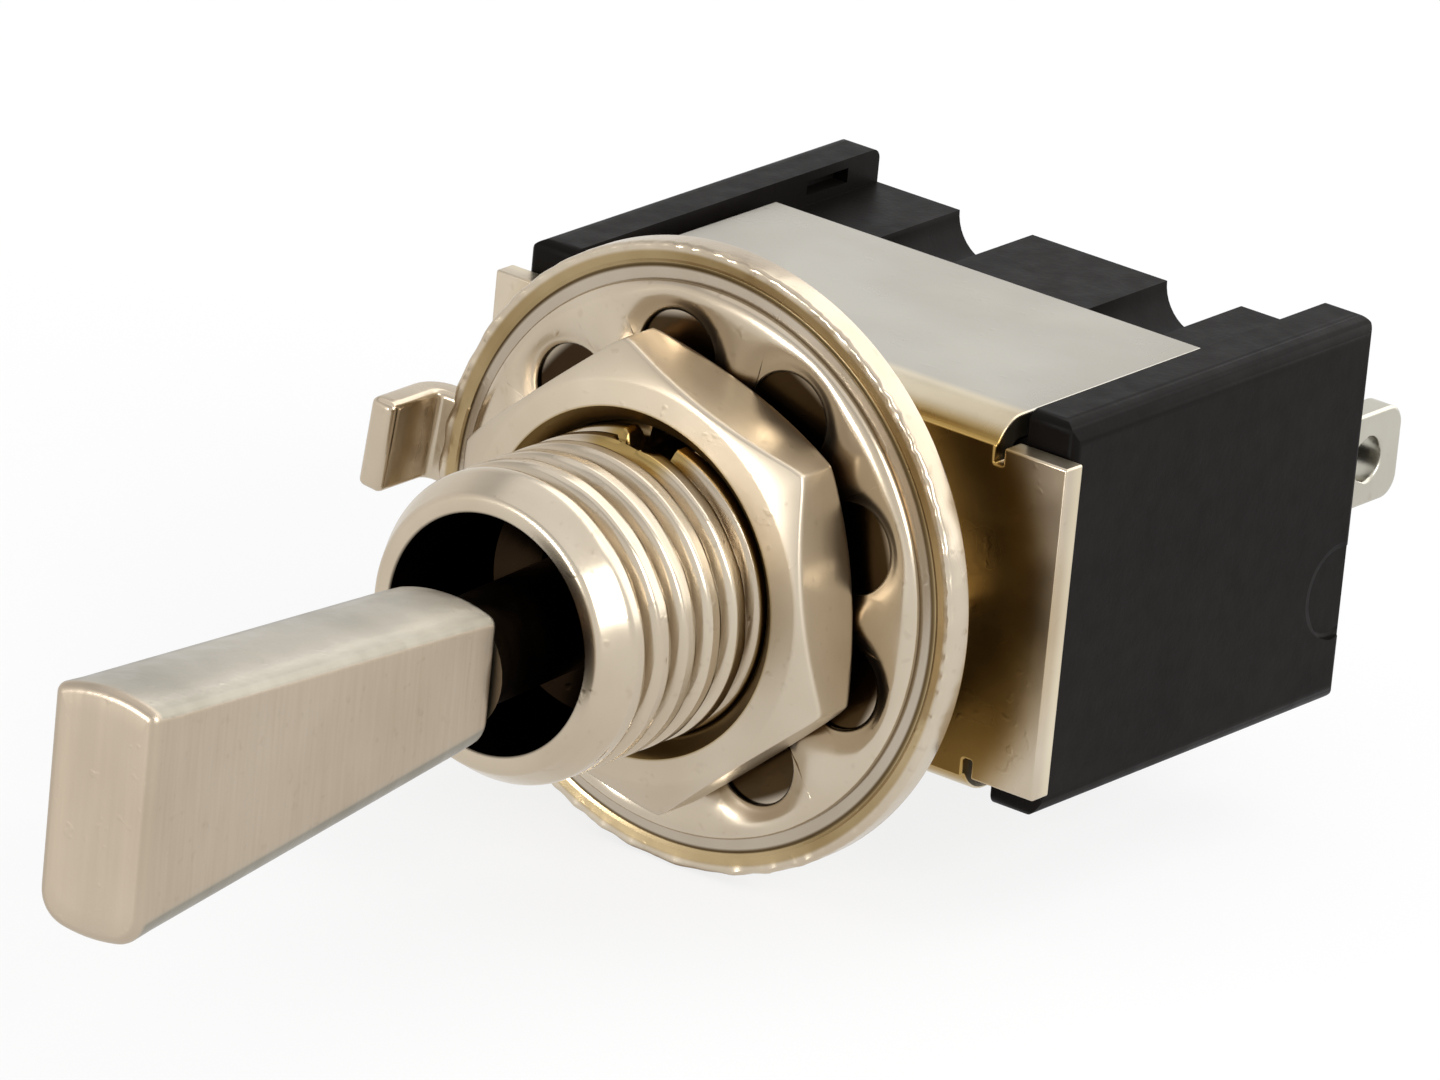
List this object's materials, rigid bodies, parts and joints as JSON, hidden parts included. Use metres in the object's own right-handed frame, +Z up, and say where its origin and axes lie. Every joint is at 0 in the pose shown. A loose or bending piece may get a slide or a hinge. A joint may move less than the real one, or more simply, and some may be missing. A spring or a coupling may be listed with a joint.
{
  "type": "panel toggle switch",
  "caption": "Miniature panel-mounted toggle switch with a flatted metal lever, threaded bushing, folded sheet frame, moulded case and solder lugs.",
  "frame": {"origin": "on the bushing's axis, at the front face of the frame's plate", "axes": "-Y along the bushing's axis, out of the panel towards the lever's tip; +X along the row of terminals; +Z up, square to both"},
  "size_m": [0.0137, 0.0345, 0.0122],
  "materials": {
    "black_moulding": "matt, finely textured",
    "nickel_lever": "satin nickel, brushed across",
    "nickel_sheet": "nickel plated, satin",
    "nickel_turned": "bright nickel plate",
    "steel_pin": "ground steel",
    "spring_wire": "drawn wire",
    "white_moulding": "natural nylon",
    "contact_brass": "rolled strip",
    "contact_silver": "silver face",
    "lug_silver": "silver plated brass",
    "resin": "cast resin"
  },
  "bodies": {
    "switch_body": {"case": "black_moulding", "frame": "nickel_sheet", "bushing": "nickel_turned", "pivot_pin": "steel_pin", "terminal_left": "lug_silver", "terminal_centre": "lug_silver", "terminal_right": "lug_silver", "fixed_contact_left": "contact_silver", "fixed_contact_right": "contact_silver", "seal_left": "resin", "seal_centre": "resin", "seal_right": "resin", "front_nut": "nickel_turned", "rear_nut": "nickel_turned", "lock_washer": "nickel_sheet", "locating_ring": "nickel_sheet"},
    "lever": {"lever": "nickel_lever", "plunger_spring": "spring_wire"},
    "plunger": {"plunger": "white_moulding"},
    "rocker": {"rocker": "contact_brass", "rocker_contact_left": "contact_silver", "rocker_contact_right": "contact_silver"}
  },
  "joints": [
    {"name": "lever_tilt", "type": "hinge", "parent": "switch_body", "child": "lever", "pos_m": [0, -0.003, 0], "axis": [0, 0, 1], "range_deg": [-15.7, 8.3]},
    {"name": "plunger_slide", "type": "slide", "parent": "lever", "child": "plunger", "axis": [0.0645, -0.9979, 0], "range_m": [0, 0.0004], "stiffness_N_per_m": 100, "springref_m": -0.0005, "deforming": ["plunger_spring"]},
    {"name": "rocker_tilt", "type": "hinge", "parent": "switch_body", "child": "rocker", "pos_m": [0, 0.0067, 0], "axis": [0, 0, 1], "range_deg": [-5.2, 9.8]}
  ],
  "couplings": [
    {"joint": "rocker_tilt", "follows": "lever_tilt", "ratio": -0.62}
  ]
}
